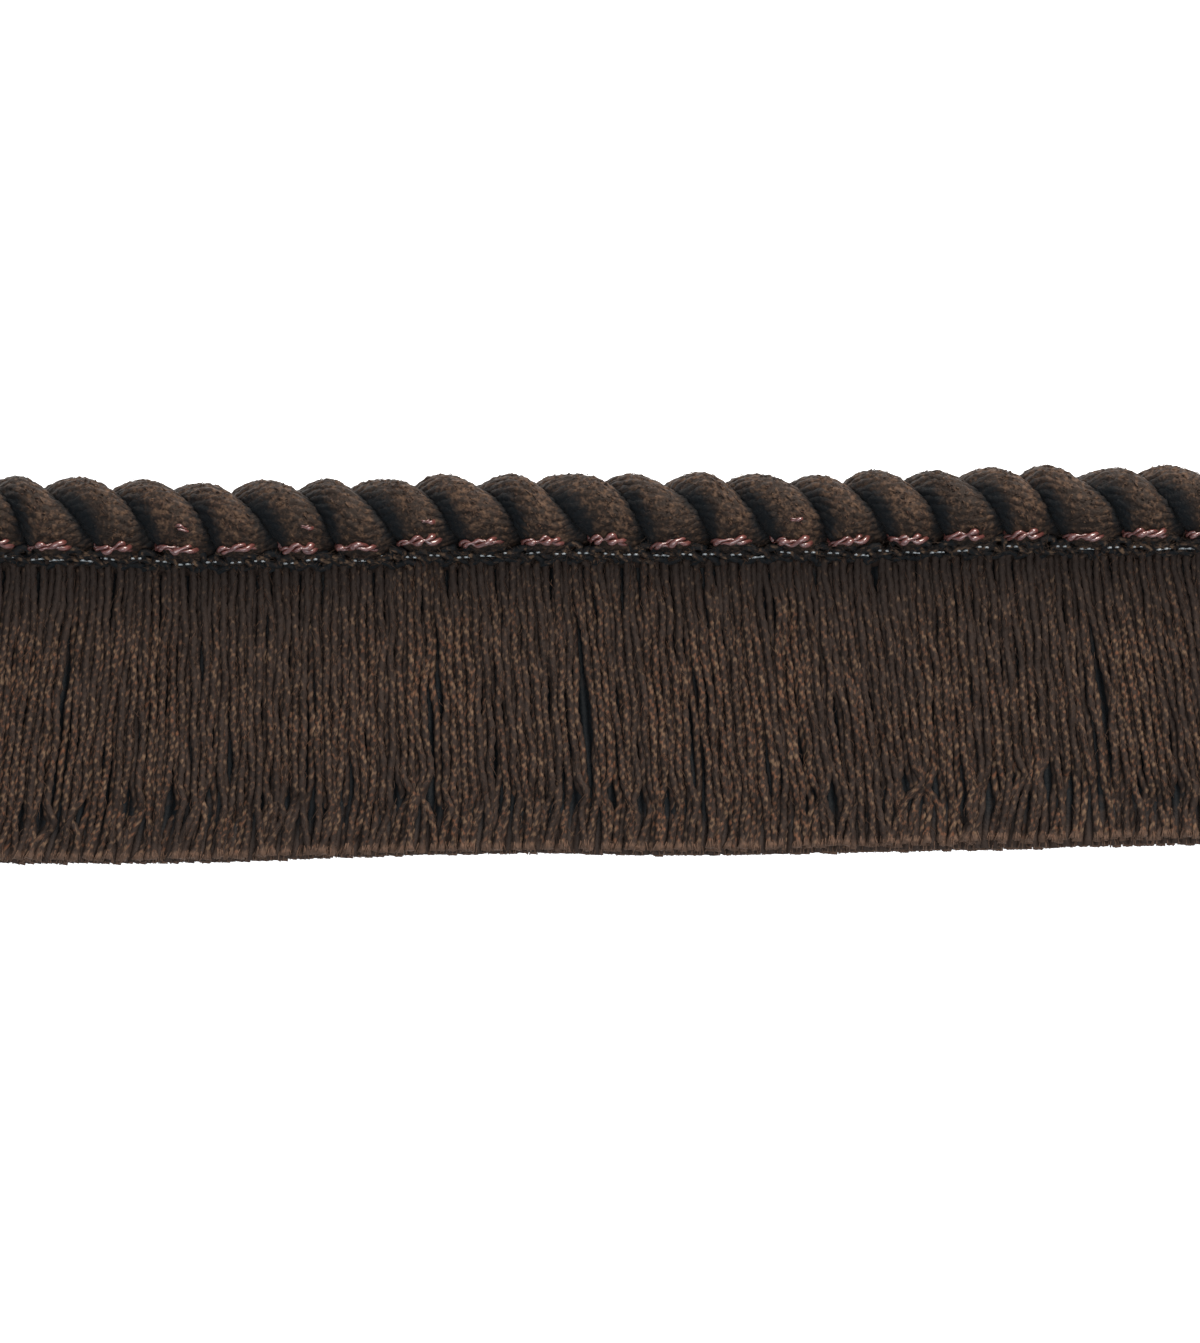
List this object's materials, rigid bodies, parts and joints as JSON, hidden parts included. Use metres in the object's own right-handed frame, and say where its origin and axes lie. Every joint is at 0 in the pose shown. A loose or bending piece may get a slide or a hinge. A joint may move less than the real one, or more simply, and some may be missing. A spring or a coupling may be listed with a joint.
{
  "type": "brush fringe",
  "caption": "Cut length of furnishing trim: a thick twisted cord sewn along a skirt of straight-cut plied yarns, for edging cushions, curtains and seats.",
  "frame": {"origin": "centre of the bounding box, on the surface that the trim lies on", "axes": "+X along the trim, +Y from the cut ends up to the cord, +Z from the back to the front"},
  "size_m": [0.1871, 0.0504, 0.0099],
  "materials": {
    "cord_yarn": "twisted plied yarn with bronze flecks",
    "skirt_yarn": "two-ply cut yarn",
    "red_thread": "shiny copper-red sewing thread",
    "clear_thread": "clear nylon sewing thread"
  },
  "bodies": {
    "root": {"twisted_cord": "cord_yarn", "brush_skirt": "skirt_yarn"}
  },
  "joints": []
}
